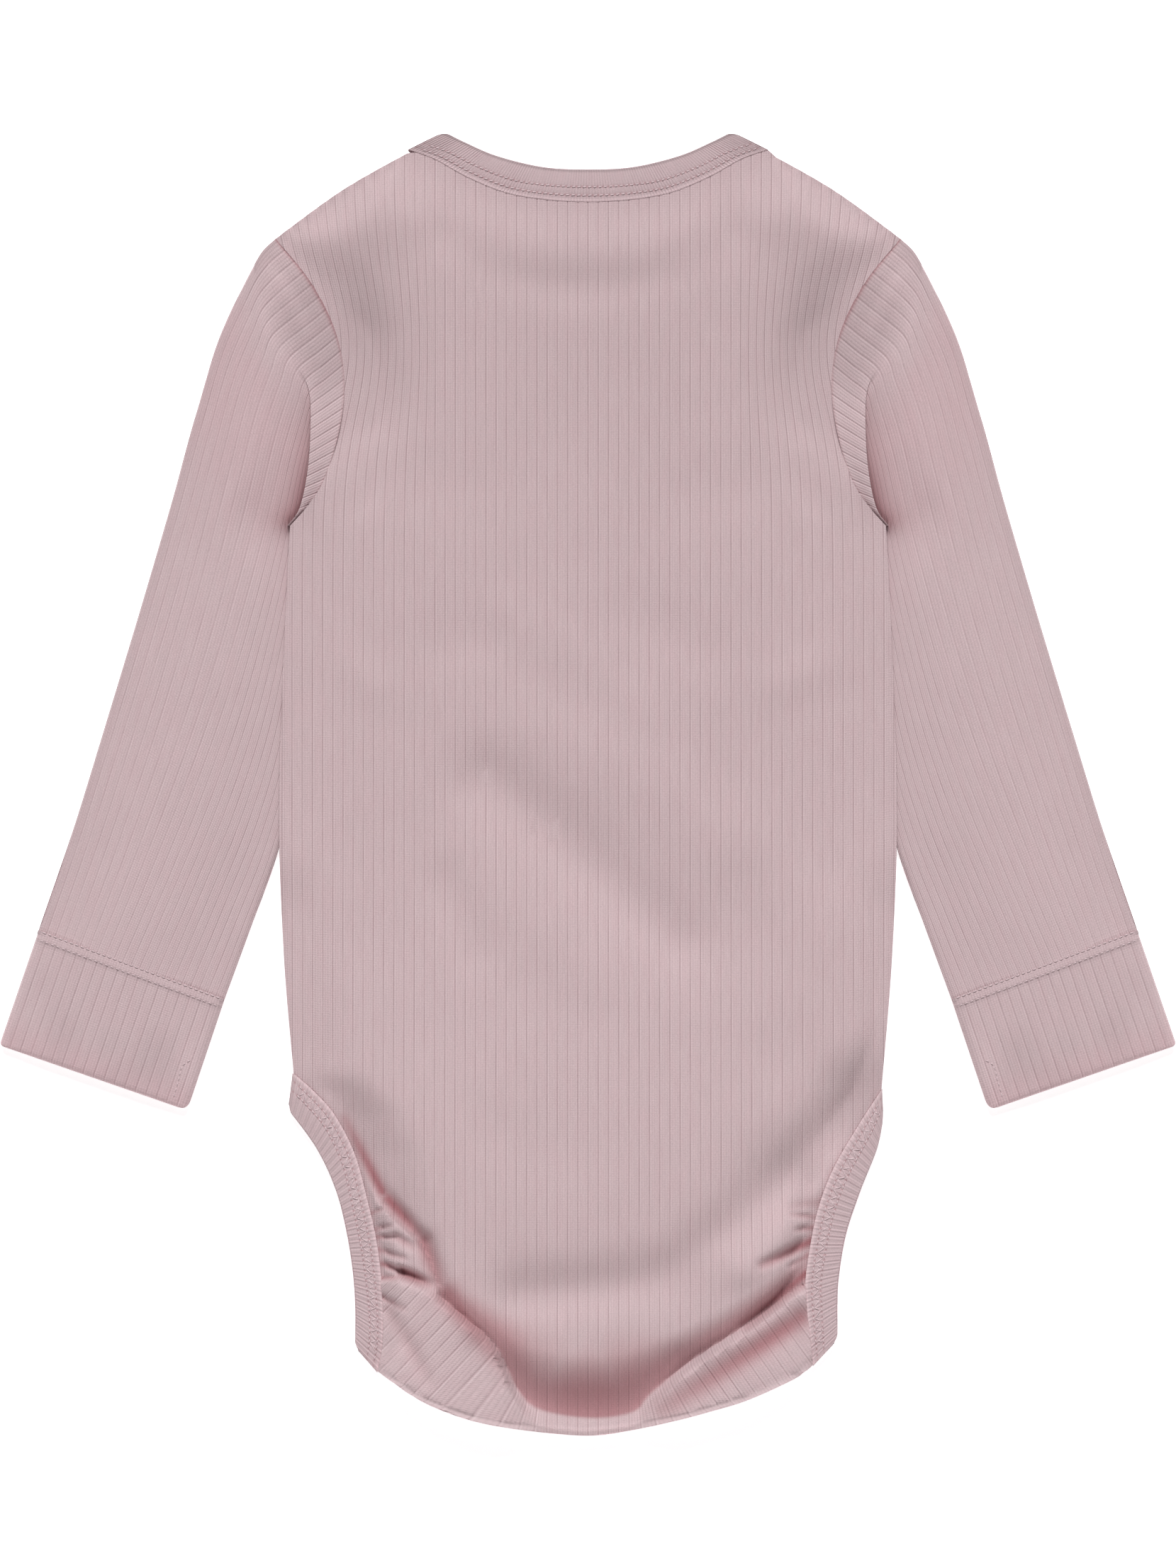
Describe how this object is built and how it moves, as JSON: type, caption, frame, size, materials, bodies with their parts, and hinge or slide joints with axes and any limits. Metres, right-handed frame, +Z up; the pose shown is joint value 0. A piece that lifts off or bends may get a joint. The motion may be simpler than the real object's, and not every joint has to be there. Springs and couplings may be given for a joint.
{
  "type": "long-sleeved baby onesie laid flat, back up",
  "caption": "Long-sleeved ribbed baby onesie laid flat with its back up: bound neck and leg openings, deep doubled cuffs and a gathered, turned-up seat.",
  "frame": {"origin": "middle of the garment's outline, on the surface that it lies on", "axes": "+Y from the crotch to the neck, +X to the right sleeve as seen from above the back, +Z up, out of the back"},
  "size_m": [0.4054, 0.4497, 0.0141],
  "materials": {
    "rib_jersey": "matt dusty pink drop-needle cotton rib",
    "rib_binding": "matt dusty pink cotton rib, doubled and topstitched",
    "press_stud": "smooth dusty pink"
  },
  "bodies": {
    "root": {"back_panel": "rib_jersey", "front_panel": "rib_jersey", "sleeve_left": "rib_jersey", "sleeve_right": "rib_jersey", "cuff_left": "rib_jersey", "cuff_right": "rib_jersey", "neck_binding": "rib_binding", "leg_binding_left": "rib_binding", "leg_binding_right": "rib_binding", "press_stud_1": "press_stud", "press_stud_2": "press_stud", "press_stud_3": "press_stud"}
  },
  "joints": []
}
